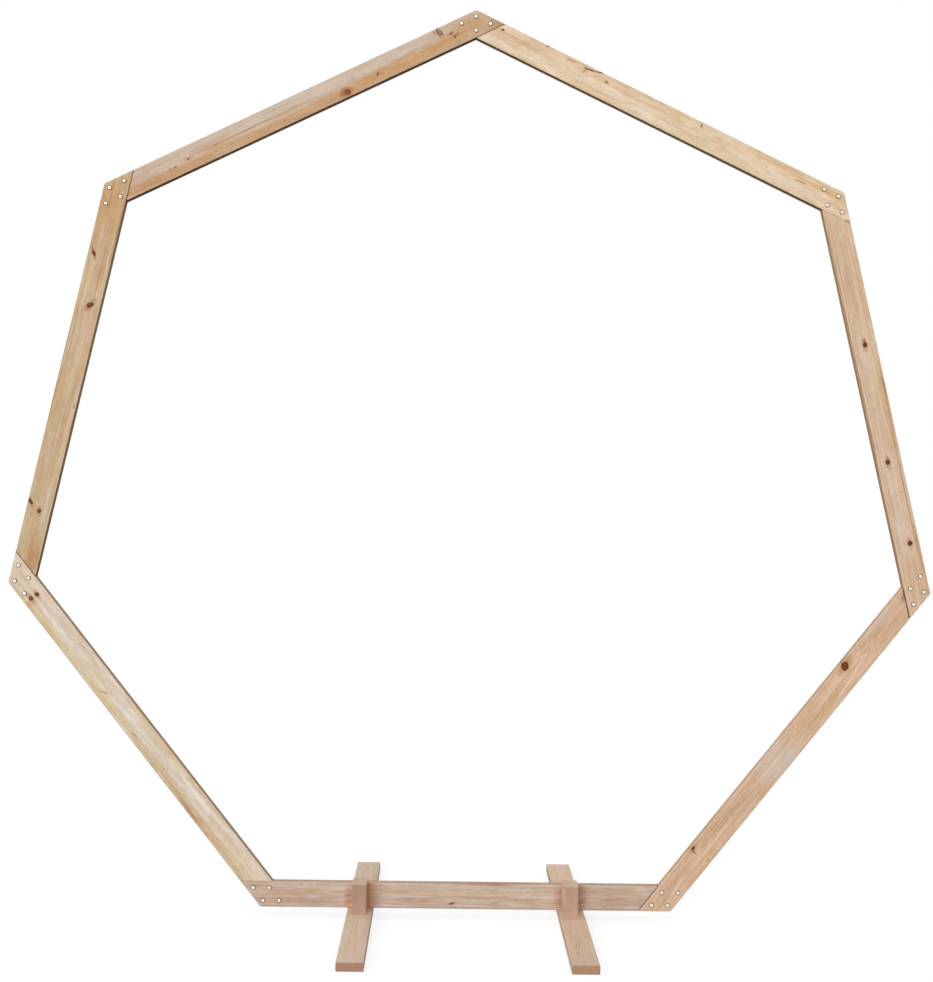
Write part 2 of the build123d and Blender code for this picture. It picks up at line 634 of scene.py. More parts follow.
def lay_edge_light_and_lap_shade(given, color, place, facing):
    """Painted light and shade on the narrow edges, in each board's own edge tint, and painted shade on the
    floors of the laps half way through the board, which show in the seams.
    """
    narrow_face = fade(unsigned(facing[2]), *narrow_face_edge)
    color = tint(color, given["Edge Tint"], product(narrow_face, given["Lapped"]))
    middle = fade(unsigned(place[1]), *lap_edge)
    flat = fade(unsigned(facing[1]), *flat_edge)
    return mix_tones(product(middle, flat, given["Lapped"]), color, tone(*lap_floor_shade_brown))


def lay_knots(given, color, fibre, flecks):
    """The knots' halos, cores, rims and hearts."""
    core_tone = tint(given["Knot Tone"], swing(fibre, *core_light))
    layers = [
        (product(given["Halo"], swing(flecks, *halo_light)), tone(*halo_brown)),
        (given["Core"], core_tone),
        (product(given["Rim"], swing(flecks, *rim_light)), tone(*rim_brown)),
        (product(given["Heart"], heart_share), tone(*heart_brown)),
    ]
    for share, shade in layers:
        color = mix_tones(share, color, shade)
    return color


def lay_arris_highlights(color, place, size, streak):
    """Painted highlights along the arrises, which are laid paler."""
    from_face = maths("SUBTRACT", product(size[1], 0.5), unsigned(place[1]))
    half_width = product(size[2], 0.5)
    off_middle = unsigned(maths("SUBTRACT", place[2], half_width))
    from_edge = maths("SUBTRACT", half_width, off_middle)
    arris = total(from_face, from_edge)
    highlight = fade(total(arris, product(streak, arris_highlight_uneven)), *arris_highlight_edge)
    return mix_tones(product(highlight, arris_highlight_share), color, tone(*arris_highlight_cream))


def planed_pine_group():
    """Planed pine: year rings round a pith, streaks, fibres, end grain, knots, dents with painted shade round
    them, painted light and shade on the edges and in the laps, and painted highlights on the arrises.
    """
    inputs = {
        "Vector": ["Place", "Grain", "Normal", "Size", "Pith"],
        "Float": ["Seed", "Lean", "Ring Width", "Lapped", "Figure", "Dent And Shade", "Core", "Rim", "Heart", "Halo"],
        "Color": ["Ground", "Late Tone", "Warm Tone", "Pale Tone", "Knot Tone", "End Tint", "Edge Tint"],
    }
    outputs = {"Color": ["Color"], "Float": ["Roughness", "Height"]}
    group, given, wanted = shader_group("planed_pine", inputs, outputs)
    grown = vectors("ADD", given["Grain"], given["Seed"])
    place = split(given["Place"])
    size = split(given["Size"])
    facing = split(given["Normal"])
    late = latewood(given, grown)
    streak = clouds(grown, streak_swells)
    fibre = clouds(grown, fibre_swells)
    mottle = clouds(grown, mottle_swells, fine_detail)
    flecks = clouds(grown, fleck_swells)

    # The figure, and the end grain
    color = figured(given, grown, late, flecks)
    noises = [(streak, streak_light), (mottle, mottle_light), (flecks, fleck_light), (fibre, fibre_light)]
    lit = tint(color, figure_light(given, noises))
    end = fade(unsigned(facing[0]), *end_edge)
    color = mix_tones(end, lit, end_grain(given, grown, color))

    # Painted light and shade on the narrow edges and in the laps, the knots, the dents round the screws'
    # heads with their painted shade, and painted highlights on the arrises
    color = lay_edge_light_and_lap_shade(given, color, place, facing)
    color = lay_knots(given, color, fibre, flecks)
    # Painted shade round the screws' heads
    color = mix_tones(product(given["Dent And Shade"], dent_shade_share), color, tone(*dent_painted_shade_brown))
    put(wanted["Color"], lay_arris_highlights(color, place, size, streak))

    # Latewood and knots are smoother and stand a little proud
    rough = maths("MULTIPLY_ADD", late, late_roughness, plain_roughness)
    rough = maths("MULTIPLY_ADD", given["Core"], core_roughness, rough)
    put(wanted["Roughness"], maths("MULTIPLY_ADD", fibre, fibre_roughness, rough))
    height = product(fibre, fibre_height)
    raised = [
        (late, late_height),
        (given["Rim"], rim_height),
        (given["Dent And Shade"], dent_height),
        (given["Core"], core_height),
    ]
    for mask, rise in raised:
        height = maths("MULTIPLY_ADD", mask, rise, height)
    put(wanted["Height"], height)
    return group


def lay_stains_and_painted_light(color, place, overlays, solid):
    """Lays patches or marks over the wood's colour: real stains, and also painted shade, painted bounce light
    and painted highlights.
    """
    for along, across, reach_along, reach_across, shade, strength, *slant in overlays:
        values = {
            "Color": color,
            "Place": place,
            "Middle": (along * millimetre, front_face, across * millimetre),
            "Reach": (reach_along * millimetre, overlay_depth, reach_across * millimetre),
            "Slant": slant[0] if slant else 0.0,
            "Solid": solid,
            "Tone": tone(*shade),
            "Strength": strength,
        }
        color = use_group(wood_stain_and_painted_light, values)["Color"]
    return color


def grow_knots(place, knots):
    """Bends the grain round a board's knots, and gives where their cores, rims, hearts and halos are."""
    grown = {"Grain": place, "Core": 0.0, "Rim": 0.0, "Heart": 0.0, "Halo": 0.0}
    for along, across, radius, stretch, slant in knots:
        values = {
            "Place": place,
            "Middle": (along * millimetre, front_face, across * millimetre),
            "Radius": radius * millimetre,
            "Stretch": stretch,
            "Slant": slant,
            **grown,
        }
        outputs = use_group(pine_knot, values)
        grown = {title: outputs[title] for title in grown}
    return grown


def press_dents_and_shade(place, heads):
    """Where the screws' heads have pressed the wood in, and where the ring of painted shade lies round each
    head.
    """
    dent_and_shade = 0.0
    for along, across in heads:
        values = {"Place": place, "Middle": (along, 0.0, across), "Dent And Shade": dent_and_shade}
        dent_and_shade = use_group(screw_dent_and_shade, values)["Dent And Shade"]
    return dent_and_shade


def placed(vector, corner, rotation):
    """A place or a direction, turned so that it runs along, through and across the board."""
    return add_node("Mapping", vector, corner, rotation, vector_type="TEXTURE").outputs[0]


def wood_material(name, corner, rotation, size, look):
    """One board's own pine. Places are measured from its corner: along, through and across the board."""
    look = {**plain_look, **look}
    material, tree, shader = new_material(name)
    coordinates = tree.nodes.new("ShaderNodeTexCoord").outputs
    place = placed(coordinates["Object"], corner, rotation)
    pith_through, pith_across = look["pith"]
    shared = {"Place": place, "Size": size, "Seed": look["seed"]}
    ground_values = {**shared, "Outer Tone": tone(*look["outer"]), "Inner Tone": tone(*look["inner"])}
    ground = use_group(pine_ground, ground_values)["Color"]
    values = {
        **shared,
        "Normal": placed(coordinates["Normal"], (0, 0, 0), rotation),
        "Pith": (0.0, pith_through * millimetre, pith_across * millimetre),
        "Lean": look["lean"],
        "Ring Width": look["ring_width"] * millimetre,
        "Ground": lay_stains_and_painted_light(ground, place, look["patches"], patch_solid),
        "Late Tone": tone(*look["late"]),
        "Warm Tone": tone(*look["warm"]),
        "Pale Tone": tone(*look["pale"]),
        "Knot Tone": tone(*look["knot"]),
        "End Tint": tone(*look["end"]),
        "Edge Tint": tone(*look["edge"]),
        "Lapped": look["lapped"],
        "Figure": look["figure"],
        "Dent And Shade": press_dents_and_shade(place, look["heads"]),
        **grow_knots(place, look["knots"]),
    }
    wood = use_group(planed_pine, values)
    put(shader.inputs["Base Color"], lay_stains_and_painted_light(wood["Color"], place, look["marks"], mark_solid))
    put(shader.inputs["Roughness"], wood["Roughness"])
    shader.inputs["Specular IOR Level"].default_value = wood_gloss
    add_bump(shader, wood["Height"], wood_bump, wood_bump_depth)
    return material


# Tones of pine, as they show, for the patches and marks
bleached = (242, 233, 223)
cream = (243, 230, 203)
pale_cream = (244, 222, 188)
pale_straw = (234, 213, 182)
pale_rose = (227, 207, 190)
straw = (227, 203, 168)
yellow_straw = (228, 206, 160)
apricot = (228, 189, 145)
# A tone of painted warm bounce light
painted_bounce_glow = (242, 170, 132)
peach_beige = (224, 191, 160)
beige = (218, 193, 168)
grey_rose = (217, 201, 185)
# A tone of painted highlight, on the right block's edge
painted_highlight_peach = (238, 205, 182)
wheat = (215, 185, 149)
sand = (212, 188, 159)
light_tan = (212, 175, 135)
honey = (211, 166, 117)
orange_tan = (205, 156, 100)
caramel = (204, 155, 109)
grey_fawn = (198, 170, 150)
# A tone of painted shade, beside the blocks
painted_shade_clay = (190, 147, 121)
tan_brown = (180, 136, 96)
faint_brown = (176, 132, 96)
# A tone of painted shade, beside the blocks
painted_shade_brown = (172, 137, 110)
chestnut = (160, 112, 80)
red_brown = (150, 92, 58)
dark_brown = (100, 56, 32)
# A tone of painted shade, along the bottom beam's lower edge
painted_edge_shade_grey = (150, 140, 135)

# What a piece of pine has unless its own look says otherwise
plain_look = {
    "knot": (150, 92, 54),
    "end": (176, 144, 120),
    # The edge tone is painted light and shade on a board's narrow edges
    "edge": (231, 204, 175),
    "lapped": 0.0,
    "figure": 1.0,
    "heads": [],
    "knots": [],
    "patches": [],
    "marks": [],
}

# Each piece's own tones, its growth, its knots, the patches under its grain and the marks over it, with all
# lengths in millimetres. The pith is placed through and across the board. A knot is along, across, radius,
# stretch and slant. A patch or mark is along, across, its reach along and across, its tone, its strength
# and, where it has one, its slant.
# Each board's edge tone is painted light and shade on its narrow edges: darker and browner on the left
# boards, whose inner edges face away from the lamp, and paler on the right boards and the bottom one.
left_roof_look = {
    "outer": (217, 205, 190),
    "inner": (211, 174, 137),
    "late": (186, 135, 88),
    "warm": (206, 156, 108),
    "pale": (218, 205, 190),
    "knot": (156, 106, 68),
    "edge": (208, 176, 146),
    "seed": 3.1,
    "pith": (30, 18),
    "lean": 0.012,
    "ring_width": 3.6,
    "knots": [
        (361, 48, 6.2, 1.0, 0.0),
        (278, 40, 2.4, 1.0, 0.4),
        (773, 32, 1.8, 1.2, 0.0),
    ],
    "patches": [
        (-36, 48, 36, 22, tan_brown, 0.8),
        (40, 26, 80, 30, honey, 0.96),
        (220, 40, 170, 12, honey, 0.9),
        (300, 12, 100, 12, grey_rose, 0.84),
        (390, 16, 50, 14, pale_rose, 0.96),
        (700, 12, 280, 14, grey_rose, 0.96),
        (620, 28, 200, 2, tan_brown, 0.84),
        (600, 46, 260, 12, light_tan, 0.84),
        (880, 46, 120, 10, caramel, 0.84),
    ],
    "marks": [
        (500, 6, 460, 14, grey_rose, 0.42),
        (104, 11, 6, 12.5, red_brown, 0.9),
        (98, 16, 2.2, 7, dark_brown, 0.9),
        (107, 6, 2.4, 8, dark_brown, 0.7),
        (115, 7, 2, 8, red_brown, 0.7),
        (78, 26, 6, 3.2, dark_brown, 0.7, 0.3),
        (74, 36, 4, 5, red_brown, 0.8),
        (66, 34, 7, 2.6, red_brown, 0.6, 0.4),
        (366, 46, 13, 13, red_brown, 0.5),
        (809, 37, 6, 1.4, dark_brown, 0.8),
        (823, 36, 3, 1.4, dark_brown, 0.7),
        (700, 29, 10, 1.2, red_brown, 0.6),
        (528, 45, 2, 5, red_brown, 0.4),
    ],
}

upper_left_look = {
    "outer": (212, 190, 157),
    "inner": (218, 196, 165),
    "late": (185, 141, 90),
    "warm": (206, 169, 119),
    "pale": (218, 204, 181),
    "knot": (150, 88, 44),
    "edge": (210, 176, 138),
    "seed": 7.7,
    "pith": (40, 34),
    "lean": -0.01,
    "ring_width": 4.2,
    "knots": [
        (168, 15, 3.8, 1.3, 0.5),
        (290, 35, 6.6, 0.9, -0.5),
        (778, 6.5, 4.6, 1.2, 0.6),
        (796, 32, 4.5, 1.0, 0.0),
    ],
    "patches": [
        (50, 30, 100, 40, honey, 0.96),
        (160, 46, 120, 8, caramel, 0.7),
        (130, 12, 60, 8, caramel, 0.72),
        (240, 12, 80, 9, yellow_straw, 0.96),
        (360, 40, 70, 14, peach_beige, 0.72),
        (470, 20, 90, 18, wheat, 0.84),
        (560, 44, 140, 10, light_tan, 0.84),
        (660, 20, 80, 12, sand, 0.72),
        (900, 40, 70, 20, caramel, 0.96),
        (930, 10, 50, 12, honey, 0.72),
    ],
    "marks": [
        (160, 11, 10, 1.6, dark_brown, 0.6, 0.5),
        (176, 19, 6, 1.2, dark_brown, 0.5, 0.7),
        (460, 1.2, 130, 1.8, red_brown, 0.5),
        (200, 40, 70, 1.4, faint_brown, 0.6),
        (535, 54, 6, 2.2, red_brown, 0.6, 0.3),
        (120, 57, 100, 2, red_brown, 0.4),
        (915, 45, 40, 14, tan_brown, 0.3),
    ],
}

lower_left_look = {
    "outer": (226, 208, 179),
    "inner": (237, 224, 208),
    "late": (209, 171, 124),
    "warm": (225, 197, 155),
    "pale": (243, 234, 223),
    "knot": (150, 94, 64),
    "figure": 1.15,
    "edge": (204, 178, 148),
    "seed": 12.4,
    "pith": (35, 28),
    "lean": 0.016,
    "ring_width": 4,
    "knots": [
        (64, 20, 4.7, 1.0, 0.0),
        (65, 37, 4.6, 1.0, 0.0),
    ],
    "patches": [
        (20, 30, 50, 30, straw, 0.72),
        (120, 10, 100, 10, yellow_straw, 0.84),
        (170, 32, 100, 10, bleached, 0.96),
        (260, 48, 100, 8, straw, 0.72),
        (380, 12, 110, 12, yellow_straw, 0.84),
        (500, 32, 140, 12, bleached, 0.84),
        (620, 26, 60, 12, pale_rose, 0.72),
        (700, 40, 140, 10, bleached, 0.96),
        (880, 34, 100, 14, cream, 0.96),
        (720, 8, 220, 10, light_tan, 0.96),
        (520, 54, 180, 6, yellow_straw, 0.72),
    ],
    "marks": [
        (344, 18, 9, 1.4, faint_brown, 0.8, 0.7),
        (352, 23, 7, 1.2, faint_brown, 0.6, 0.9),
        (471, 14, 7, 1.4, faint_brown, 0.7, 0.3),
        (576, 21, 8, 1.4, faint_brown, 0.6, 0.3),
        (586, 26, 6, 1.6, faint_brown, 0.6, -0.8),
        (700, 6, 40, 4, faint_brown, 0.35),
        (72, 8, 10, 6, orange_tan, 0.5),
    ],
}

bottom_look = {
    "outer": (216, 190, 173),
    "inner": (216, 197, 181),
    "late": (179, 139, 112),
    "warm": (209, 175, 149),
    "pale": (220, 200, 184),
    "knot": (142, 94, 62),
    "figure": 1.25,
    "edge": (238, 224, 210),
    "seed": 17.2,
    "pith": (26, 30),
    "lean": -0.014,
    "ring_width": 3.4,
    "knots": [
        (456, 13, 2, 2.2, 0.3),
    ],
    "patches": [
        (490, 21, 400, 11, pale_rose, 0.6),
        # Painted shade on the beam on each side of the two blocks
        (216, 24, 18, 34, painted_shade_brown, 0.95),
        (265, 16, 22, 22, painted_shade_clay, 0.6),
        (712, 28, 16, 36, painted_shade_brown, 0.8),
        (764, 28, 16, 34, painted_shade_clay, 0.7),
        (60, 30, 60, 20, wheat, 0.72),
        (130, 14, 80, 12, grey_fawn, 0.72),
        (130, 40, 80, 6, light_tan, 0.84),
        (300, 40, 60, 10, wheat, 0.84),
        (380, 12, 90, 12, grey_fawn, 0.72),
        (490, 34, 200, 4, straw, 0.96),
        (480, 48, 140, 6, beige, 0.84),
        (525, 58.5, 120, 3, chestnut, 0.84),
        (640, 20, 100, 10, sand, 0.72),
        (840, 28, 60, 12, grey_fawn, 0.6),
        (885, 48, 30, 8, apricot, 0.96),
    ],
    "marks": [
        # Painted shade along the beam's lower edge
        (490, 1.2, 600, 3, painted_edge_shade_grey, 0.35),
        (456, 9, 1.6, 5, chestnut, 0.5),
        (463, 5, 6, 1.8, chestnut, 0.5, -0.4),
        (97, 55, 2, 1.4, dark_brown, 0.9),
        (212, 6.5, 9, 7, orange_tan, 0.5),
        (470, 34.5, 170, 1.3, straw, 0.7),
        (580, 26, 120, 1.2, faint_brown, 0.5),
        (360, 23, 90, 1.2, faint_brown, 0.5, 0.05),
        (301, 50, 8, 2.6, honey, 0.6),
        (560, 16, 12, 1.2, faint_brown, 0.5, 0.2),
        (660, 10, 10, 1.2, red_brown, 0.4, 0.1),
        # Painted warm bounce light in the shadows beside the blocks, and painted shade at the right block's
        # left edge
        (260, 30, 14, 50, painted_bounce_glow, 0.45),
        (755, 30, 7, 50, painted_bounce_glow, 0.4),
        (716.5, 28, 4, 30, chestnut, 0.4),
    ],
}

lower_right_look = {
    "outer": (228, 196, 167),
    "inner": (227, 194, 165),
    "late": (201, 153, 109),
    "warm": (225, 179, 136),
    "pale": (233, 207, 183),
    "knot": (142, 78, 42),
    "figure": 1.15,
    "edge": (246, 238, 230),
    "seed": 23.9,
    "pith": (34, 36),
    "lean": 0.01,
    "ring_width": 3.4,
    "knots": [
        (716, 49, 8.6, 1.05, 0.2),
        (151, 54, 3.2, 1.2, 0.0),
    ],
    "patches": [
        (446, 30, 70, 60, pale_rose, 1.0),
        (155, 16, 35, 8, apricot, 0.84),
        (260, 34, 100, 10, wheat, 0.72),
        (330, 10, 70, 10, peach_beige, 0.72),
        (600, 22, 100, 14, light_tan, 0.72),
        (800, 53, 100, 8, grey_rose, 0.96),
        (860, 16, 80, 14, light_tan, 0.84),
        (940, 44, 25, 14, chestnut, 0.84),
        (200, 53, 100, 6, sand, 0.72),
    ],
    "marks": [
        (436, 30, 48, 50, grey_rose, 0.5),
        (880, 52, 60, 6, grey_rose, 0.4),
        (145, 48, 2.8, 8, red_brown, 0.7),
        (152, 10, 6, 1.6, red_brown, 0.6, 0.3),
        (742, 25, 32, 2.6, pale_cream, 0.6, 0.14),
        (742, 34, 32, 2.6, pale_cream, 0.6, -0.12),
        (690, 18, 50, 2.2, pale_cream, 0.7, 0.1),
        (680, 41, 30, 1.6, pale_cream, 0.8, -0.12),
        (640, 36, 60, 1.6, pale_cream, 0.7),
        (200, 26, 60, 1.6, pale_cream, 0.7),
        (420, 34, 80, 1.7, pale_cream, 0.8),
        (420, 46, 60, 1.4, pale_cream, 0.6),
        (300, 41, 120, 1.4, red_brown, 0.35),
        (330, 18, 100, 1.2, faint_brown, 0.5),
    ],
}

upper_right_look = {
    "outer": (226, 199, 169),
    "inner": (225, 199, 172),
    "late": (194, 148, 104),
    "warm": (215, 172, 130),
    "pale": (228, 208, 187),
    "knot": (126, 74, 42),
    "edge": (240, 224, 206),
    "seed": 29.3,
    "pith": (36, 26),
    "lean": -0.008,
    "ring_width": 3.8,
    "knots": [
        (128, 23, 5, 1.1, 0.0),
        (328, 34, 5, 1.1, 0.0),
        (613, 28, 5, 1.1, 0.0),
    ],
    "patches": [
        (860, 34, 160, 14, sand, 0.8),
        (100, 6, 70, 5, caramel, 0.96),
        (50, 30, 60, 22, light_tan, 0.72),
        (460, 5, 180, 4, caramel, 0.96),
        (460, 13, 160, 5, light_tan, 0.72),
        (200, 42, 110, 12, grey_rose, 0.96),
        (400, 32, 80, 10, beige, 0.72),
        (580, 44, 140, 10, beige, 0.84),
        (780, 30, 120, 12, sand, 0.72),
        (800, 6, 140, 5, honey, 0.72),
        (500, 55.5, 400, 1.8, pale_straw, 0.84),
    ],
    "marks": [
        (800, 12.5, 200, 2, caramel, 0.5),
        (780, 50, 220, 1.6, caramel, 0.45),
        (621, 28, 8, 1.8, dark_brown, 0.7),
        (505, 4, 26, 5, faint_brown, 0.5),
        (300, 9, 180, 1.6, faint_brown, 0.6),
        (600, 58, 340, 1.3, red_brown, 0.6),
        (245, 30, 2, 1.6, red_brown, 0.5),
    ],
}

right_roof_look = {
    "outer": (232, 210, 178),
    "inner": (235, 215, 187),
    "late": (208, 163, 111),
    "warm": (226, 190, 144),
    "pale": (240, 222, 196),
    "figure": 1.25,
    "seed": 34.8,
    "pith": (38, 40),
    "lean": 0.009,
    "ring_width": 3.4,
    "knots": [
        (624, 17, 2, 1.2, 0.0),
        (901, 15, 2.2, 1.2, 0.0),
    ],
    "patches": [
        (50, 14, 80, 16, apricot, 0.96),
        (150, 12, 60, 10, apricot, 0.72),
        (845, 44, 100, 6, cream, 1.0),
        (720, 52, 160, 5, cream, 0.96),
        (860, 24, 100, 10, wheat, 0.84),
        (450, 30, 200, 10, pale_straw, 0.6),
        (300, 12, 100, 10, pale_straw, 0.6),
        (600, 12, 100, 10, straw, 0.6),
    ],
    "marks": [
        (-44, 57, 12, 7, tan_brown, 0.6),
        (104, 24, 18, 1, dark_brown, 0.9, 0.03),
        (375, 9, 2.2, 5.5, red_brown, 0.9),
        (371, 13, 4, 1.2, red_brown, 0.5),
        (194, 26, 2, 1.4, red_brown, 0.7),
        (651, 4, 11, 1.5, dark_brown, 0.95, 0.25),
        (668, 7.5, 12, 1.8, dark_brown, 0.95, 0.12),
        (682, 9, 5, 1.6, dark_brown, 0.8, -0.3),
        (684, 16, 1.2, 8, red_brown, 0.8),
        (679, 14, 0.9, 6, red_brown, 0.6),
        (722, 8, 12, 1.4, red_brown, 0.7),
        (730, 10, 5, 1.2, red_brown, 0.6, 0.2),
        (788, 3, 3.5, 2, dark_brown, 0.8),
        (390, 55, 90, 4, yellow_straw, 0.4),
    ],
}

board_looks = [
    left_roof_look,
    upper_left_look,
    lower_left_look,
    bottom_look,
    lower_right_look,
    upper_right_look,
    right_roof_look,
]

foot_looks = {
    "left": {
        "outer": (234, 210, 188),
        "inner": (236, 211, 189),
        "late": (209, 174, 145),
        "warm": (232, 198, 168),
        "pale": (240, 218, 198),
        "end": (203, 176, 165),
        "figure": 0.5,
        "seed": 41.6,
        "pith": (34, 34),
        "lean": 0.012,
        "ring_width": 3.6,
        "patches": [
            (580, 30, 200, 60, sand, 0.4),
            (350, 6, 400, 12, grey_fawn, 0.4),
            (160, 30, 160, 5, apricot, 0.5),
            (80, 18, 120, 6, pale_rose, 0.6),
            (130, 45, 160, 4, yellow_straw, 0.6),
        ],
        "marks": [
            (190, 39.5, 110, 1.3, faint_brown, 0.3),
            (100, 25.5, 90, 1.1, faint_brown, 0.2),
        ],
    },
    "right": {
        "outer": (237, 209, 182),
        "inner": (235, 207, 182),
        "late": (211, 172, 140),
        "warm": (230, 193, 160),
        "pale": (240, 214, 190),
        "end": (200, 177, 161),
        "figure": 0.5,
        "seed": 47.5,
        "pith": (30, 24),
        "lean": -0.014,
        "ring_width": 4,
        "patches": [
            (170, 30, 140, 50, peach_beige, 0.7),
        ],
        "marks": [
            (108, 40, 40, 1.2, faint_brown, 0.35, -0.135),
            (112, 33, 34, 1.2, faint_brown, 0.35, -0.135),
            (70, 40.5, 8, 3.6, faint_brown, 0.4),
            # Painted shade on the foot in front of the block
            (288, 30, 14, 50, painted_shade_clay, 0.25),
            (30, 30, 50, 50, grey_fawn, 0.22),
        ],
    },
}

block_looks = {
    "left": {
        "outer": (219, 191, 168),
        "inner": (216, 188, 165),
        "late": (182, 138, 108),
        "warm": (212, 176, 146),
        "pale": (224, 202, 182),
        "end": (214, 205, 201),
        "figure": 0.5,
        "seed": 53.2,
        "pith": (50, 20),
        "lean": 0.02,
        "ring_width": 3,
    },
    "right": {
        "outer": (219, 192, 169),
        "inner": (217, 189, 165),
        "late": (186, 142, 112),
        "warm": (214, 178, 148),
        "pale": (226, 204, 184),
        "end": (222, 213, 209),
        "figure": 0.5,
        "seed": 59.8,
        "pith": (40, 10),
        "lean": -0.02,
        "ring_width": 3,
        "marks": [
            # Painted highlight along the block's left edge and side
            (25, 34, 60, 1.6, painted_highlight_peach, 0.8),
        ],
    },
}


def ring_corner(index):
    """The sharp corner of the ring's outline where a board starts."""
    angle = pi / 2 + index * turn
    return ring_middle + corner_radius * Vector((cos(angle), 0, sin(angle)))


def head_places():
    """Where the four heads stand on a board at its first corner, along and across it."""
    places = []
    for before in screw_insets:
        for across in screw_insets:
            along = (before - across * cos(turn)) / sin(turn)
            places.append((along, across))
    return places


def dress(name, corner, rotation, size, look):
    """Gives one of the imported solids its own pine."""
    frame["nodes"][name].active_material = wood_material(name + "_pine", corner, rotation, size, look)


def dress_boards():
    """Gives each board of the ring its pine, with the dents of the heads at its first corner."""
    size = (side_length, board_thickness, board_width)
    for index, look in enumerate(board_looks):
        rotation = (0, (bottom_index - index) * turn, 0)
        look = {**look, "heads": head_places(), "lapped": 1.0}
        dress(board_names[index], ring_corner(index), rotation, size, look)


def dress_feet():
    """Gives each foot its pine, with the grain running from the front end to the back."""
    size = (foot_length, foot_thickness, board_width)
    for side, middle in foot_middles.items():
        corner = (middle + board_width / 2, -foot_length / 2, foot_thickness / 2)
        dress(side + "_foot", corner, front_to_back, size, foot_looks[side])


def dress_blocks():
    """Gives each block its pine, with the grain running from front to back, so its front is end grain."""
    size = (block_depth, block_height, block_width)
    for side, middle in block_middles.items():
        corner = (middle + block_width / 2, front_face - block_depth, foot_thickness + block_height / 2)
        dress(side + "_block", corner, front_to_back, size, block_looks[side])


# The screws

def zinc_material(name, shade, roughness):
    """Zinc plate with a faint cloudy bloom and fine scratches."""
    material, tree, shader = new_material(name)
    place = tree.nodes.new("ShaderNodeTexCoord").outputs["Object"]
    bloom = clouds(place, bloom_swells)
    scratches = clouds(place, scratch_swells, soft_detail)
    dull = [bright * share for bright, share in zip(tone(*shade), bloom_tint)]
    put(shader.inputs["Base Color"], mix_tones(fade(bloom, *bloom_edge), tone(*shade), dull))
    mixed = maths("MULTIPLY_ADD", scratches, scratch_share, product(bloom, bloom_share))
    put(shader.inputs["Roughness"], fade(mixed, *scratch_edge, *roughness))
    shader.inputs["Metallic"].default_value = 1.0
    add_bump(shader, scratches, zinc_bump, zinc_bump_depth)
    return material


def take_finish(thing):
    """Gives a head its crown's zinc, its recess's and its rim's, in that order."""
    for material in screw_finish:
        thing.data.materials.append(material)


def recess_blade(mouth_z, floor_z, angle):
    """One blade of the cross recess's cutter, narrowing to its floor."""
    bpy.ops.mesh.primitive_cube_add(size=1, location=(0, 0, (floor_z + mouth_z) / 2))
    blade = bpy.context.object
    blade.scale = (recess_span, recess_width, floor_z - mouth_z)
    blade.rotation_euler = (0, 0, angle)
    settle(blade)
    take_finish(blade)
    # The recess takes its own darker zinc, painted shade with some dirt
    for face in blade.data.polygons:
        face.material_index = recess_slot
    select_faces(blade, faces_up)
    narrow = recess_floor_span / recess_span
    bpy.ops.transform.resize(value=(narrow, narrow, 1), center_override=(0, 0, floor_z))
    bpy.ops.object.mode_set(mode="OBJECT")
    return blade


def cut_recess(screw, crown_z):
    """Cuts the cross recess into a head, up from its crown."""
    for angle in (0, pi / 2):
        blade = recess_blade(crown_z - cutter_overhang, crown_z + recess_depth, angle)
        cut = screw.modifiers.new("recess", "BOOLEAN")
        cut.operation = "DIFFERENCE"
        cut.solver = "EXACT"
        cut.object = blade
        apply_modifier(screw, cut)
        bpy.data.objects.remove(blade)


def pull_out(height, scale=1.0):
    """In edit mode, extrudes the selected face straight up and scales its new edge about the axis."""
    bpy.ops.mesh.extrude_region_move(TRANSFORM_OT_translate={"value": (0, 0, height)})
    bpy.ops.transform.resize(value=(scale, scale, 1), center_override=(0, 0, 0))


def wind_thread(start, end):
    """A helical ridge round the shank, as a closed strip."""
    bpy.ops.mesh.primitive_circle_add(
        vertices=thread_sides,
        radius=thread_height,
        location=(shank_radius, 0, start),
        rotation=(pi / 2, 0, 0),
    )
    ridge = bpy.context.object
    settle(ridge)
    helix = ridge.modifiers.new("helix", "SCREW")
    helix.axis = "Z"
    helix.angle = 2 * pi
    helix.screw_offset = thread_pitch
    helix.iterations = int((end - start) / thread_pitch)
    helix.steps = thread_steps
    helix.render_steps = thread_steps
    apply_modifier(ridge, helix)
    bpy.ops.object.mode_set(mode="EDIT")
    bpy.ops.mesh.select_all(action="SELECT")
    bpy.ops.mesh.fill_holes(sides=0)
    bpy.ops.mesh.select_all(action="SELECT")
    bpy.ops.mesh.normals_make_consistent(inside=False)
    bpy.ops.object.mode_set(mode="OBJECT")
    ridge.data.materials.append(screw_finish[0])
    return ridge


def head_disc(wall, crown_z):
    """The wall of a head, standing on its crown."""
    clear_selection()
    bpy.ops.mesh.primitive_cylinder_add(
        vertices=head_sides,
        radius=head_radius,
        depth=wall,
        location=(0, 0, crown_z + wall / 2),
    )
    screw = bpy.context.object
    settle(screw)
    take_finish(screw)
    return screw


def draw_shank(screw, seat_z, tip_z):
    """In edit mode, draws the shank and its point out of the selected seat, and winds the thread on it."""
    shank_end = tip_z - point_length
    pull_out(shank_end - seat_z)
    pull_out(point_length, tip_radius / shank_radius)
    bpy.ops.object.mode_set(mode="OBJECT")
    join_all(screw, wind_thread(seat_z + smooth_shank, shank_end))


def finish_screw(screw, name):
    """Smooths the round faces and names the screw."""
    select_only(screw)
    bpy.ops.object.shade_smooth_by_angle(angle=smooth_angle)
    screw.name = name
    return screw


